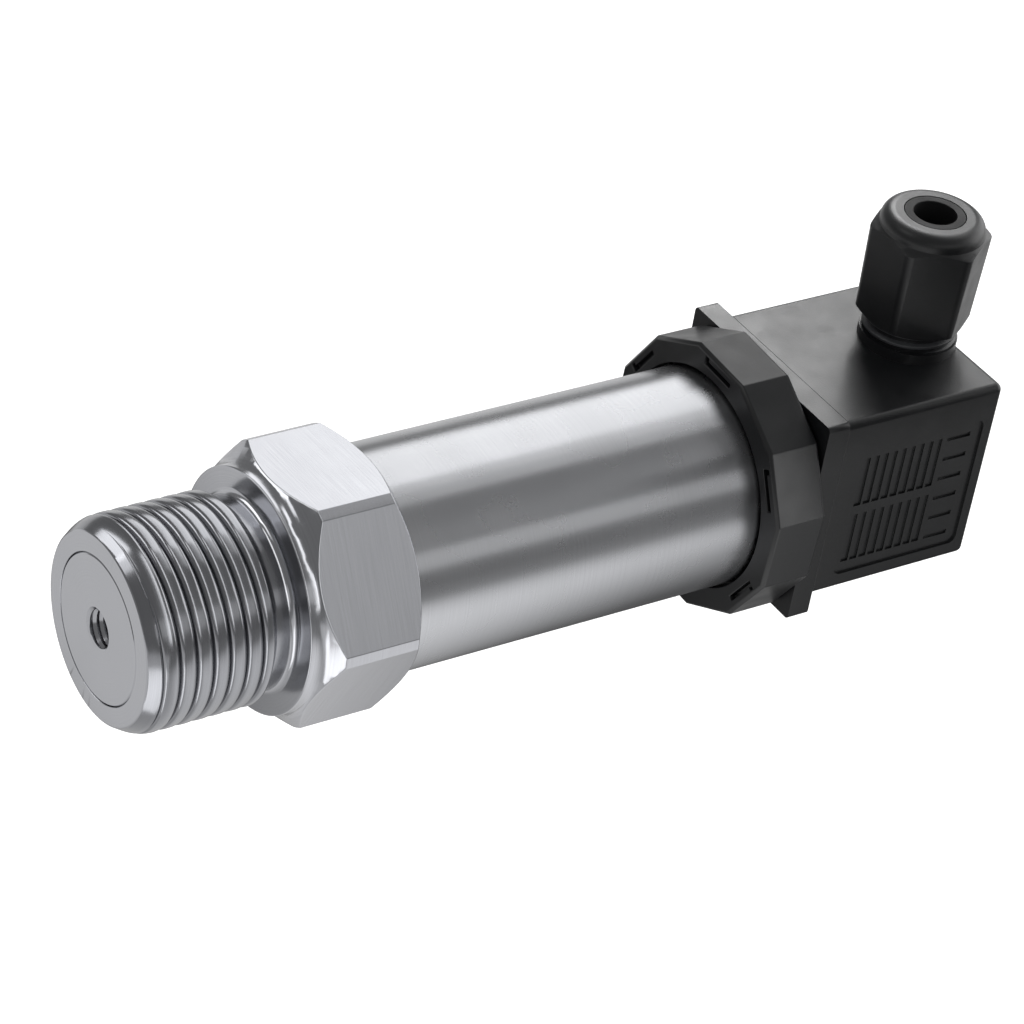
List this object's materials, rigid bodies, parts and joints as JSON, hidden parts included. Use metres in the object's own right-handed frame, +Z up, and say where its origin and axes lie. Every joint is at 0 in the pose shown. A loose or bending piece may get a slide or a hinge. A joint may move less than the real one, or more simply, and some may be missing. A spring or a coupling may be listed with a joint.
{
  "type": "pressure transmitter",
  "caption": "Pressure transmitter: threaded steel process connection with hexagon, steel sensor tube, lock nut and square black plug connector with cable gland.",
  "frame": {"origin": "centre of the threaded stub's end face, at the mouth of the pressure port", "axes": "+X along the body from the pressure port to the plug, +Z up to the cable gland"},
  "size_m": [0.1115, 0.0326, 0.0468],
  "materials": {
    "turned_steel": "turned and milled stainless steel",
    "brushed_tube": "stainless tube, brushed around",
    "black_moulding": "black moulded polyamide, fine satin",
    "black_rubber": "black rubber, matte",
    "tinned_contact": "tinned brass strip",
    "gold_contact": "gold-plated pins",
    "brass": "turned brass",
    "screw_steel": "zinc-plated steel screws",
    "circuit_board": "green glass-fibre board",
    "blue_plastic": "blue moulded trimmer bodies",
    "bare_aluminium": "bare aluminium cans"
  },
  "bodies": {
    "sensor": {"process_connection": "turned_steel", "port_disc": "turned_steel", "sensor_capsule": "turned_steel", "capsule_seal": "black_rubber", "capsule_ring": "turned_steel", "capsule_pins": "gold_contact", "body_tube": "brushed_tube", "board_holder": "black_moulding", "amplifier_board": "circuit_board", "amplifier_chip": "black_moulding", "board_capacitors": "bare_aluminium", "adjusters": "blue_plastic", "connector_base": "black_moulding", "base_seal": "black_rubber", "contact_blade_1": "tinned_contact", "contact_blade_2": "tinned_contact", "contact_blade_3": "tinned_contact", "earth_blade": "tinned_contact", "centre_insert": "brass"},
    "lock_nut": {"lock_nut": "black_moulding"},
    "plug": {"plug_gasket": "black_rubber", "plug_housing": "black_moulding", "terminal_insert": "black_moulding", "socket_contacts": "tinned_contact", "terminal_screws": "screw_steel", "screw_seal": "black_rubber", "gland_seal": "black_rubber", "gland_washer": "black_moulding"},
    "fixing_screw": {"fixing_screw": "screw_steel"},
    "gland_nut": {"gland_nut": "black_moulding"}
  },
  "joints": [
    {"name": "lock_nut_turn", "type": "hinge", "parent": "sensor", "child": "lock_nut", "pos_m": [0.0809, 0, 0], "axis": [-1, 0, 0], "range_deg": [0, 1200]},
    {"name": "plug_pull", "type": "slide", "parent": "sensor", "child": "plug", "axis": [1, 0, 0], "range_m": [0, 0.014]},
    {"name": "fixing_screw_turn", "type": "hinge", "parent": "plug", "child": "fixing_screw", "pos_m": [0.109, -0.00125, 0.00125], "axis": [1, 0, 0], "continuous": true},
    {"name": "gland_nut_turn", "type": "hinge", "parent": "plug", "child": "gland_nut", "pos_m": [0.10505, -0.0008, 0.02], "axis": [0, 0, 1], "range_deg": [0, 1730]}
  ]
}
